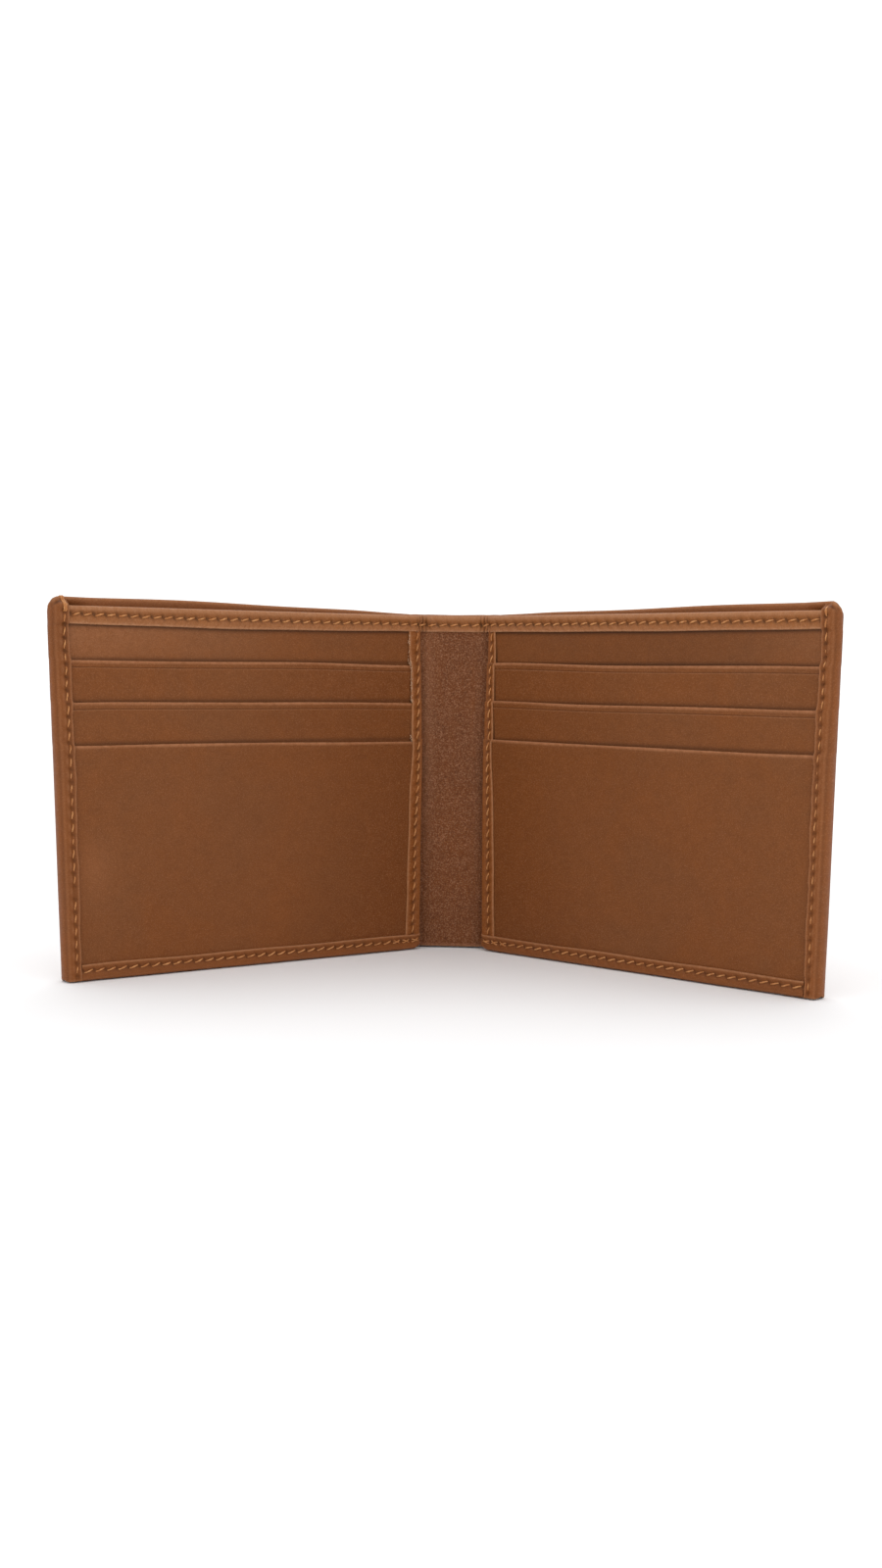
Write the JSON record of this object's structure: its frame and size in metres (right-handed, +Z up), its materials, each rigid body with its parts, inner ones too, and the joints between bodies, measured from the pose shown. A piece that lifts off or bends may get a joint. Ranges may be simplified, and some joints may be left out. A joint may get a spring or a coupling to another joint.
{
  "type": "bifold wallet",
  "caption": "Leather bifold wallet with stepped card slots on both inner faces and an open-topped note compartment, standing open in a V.",
  "frame": {"origin": "bottom centre of the box round the wallet standing open in its V, on the table surface", "axes": "+Z up along the fold lines, +X across the open wallet from the left half to the right half, inside faces towards -Y"},
  "size_m": [0.1992, 0.0732, 0.0969],
  "materials": {
    "cover_leather": "smooth tan leather, semi-gloss, with lighter worn edges",
    "pocket_leather": "smooth tan leather, semi-gloss, faint mottling",
    "band_leather": "thin folded tan leather, fine grain",
    "grained_leather": "matt pebble-grained brown leather",
    "lining": "fine woven brown lining",
    "board": "grey-brown fibre board, hidden",
    "thread": "waxed orange-tan polyester thread"
  },
  "bodies": {
    "spine": {"spine_cover": "cover_leather", "spine_cover_lining": "lining", "spine_divider": "grained_leather", "spine_divider_lining": "lining", "spine_band": "band_leather", "spine_thread_band": "thread"},
    "left_half": {"cover_leather_left": "cover_leather", "cover_board_left": "board", "cover_lining_left": "lining", "side_hem_left": "cover_leather", "bottom_hem_left": "cover_leather", "divider_leather_left": "grained_leather", "divider_lining_left": "lining", "top_band_left": "band_leather", "card_backing_left": "pocket_leather", "card_pocket_top_left": "pocket_leather", "card_pocket_middle_left": "pocket_leather", "card_pocket_bottom_left": "pocket_leather", "pocket_tail_top_left": "lining", "pocket_tail_middle_left": "lining", "edge_strip_left": "pocket_leather", "thread_band_left": "thread", "thread_side_left": "thread", "thread_bottom_left": "thread", "thread_strip_left": "thread", "thread_tails_left": "thread", "thread_cover_top_left": "thread"},
    "right_half": {"cover_leather_right": "cover_leather", "cover_board_right": "board", "cover_lining_right": "lining", "side_hem_right": "cover_leather", "bottom_hem_right": "cover_leather", "divider_leather_right": "grained_leather", "divider_lining_right": "lining", "top_band_right": "band_leather", "card_backing_right": "pocket_leather", "card_pocket_top_right": "pocket_leather", "card_pocket_middle_right": "pocket_leather", "card_pocket_bottom_right": "pocket_leather", "pocket_tail_top_right": "lining", "pocket_tail_middle_right": "lining", "edge_strip_right": "pocket_leather", "thread_band_right": "thread", "thread_side_right": "thread", "thread_bottom_right": "thread", "thread_strip_right": "thread", "thread_tails_right": "thread", "thread_cover_top_right": "thread"}
  },
  "joints": [
    {"name": "left_fold", "type": "hinge", "parent": "spine", "child": "left_half", "pos_m": [-0.0095, 0.02893, 0.0475], "axis": [0, 0, 1], "range_deg": [-35.5, 57.5]},
    {"name": "right_fold", "type": "hinge", "parent": "spine", "child": "right_half", "pos_m": [0.0095, 0.02893, 0.0475], "axis": [0, 0, -1], "range_deg": [-35.5, 57.5]}
  ]
}
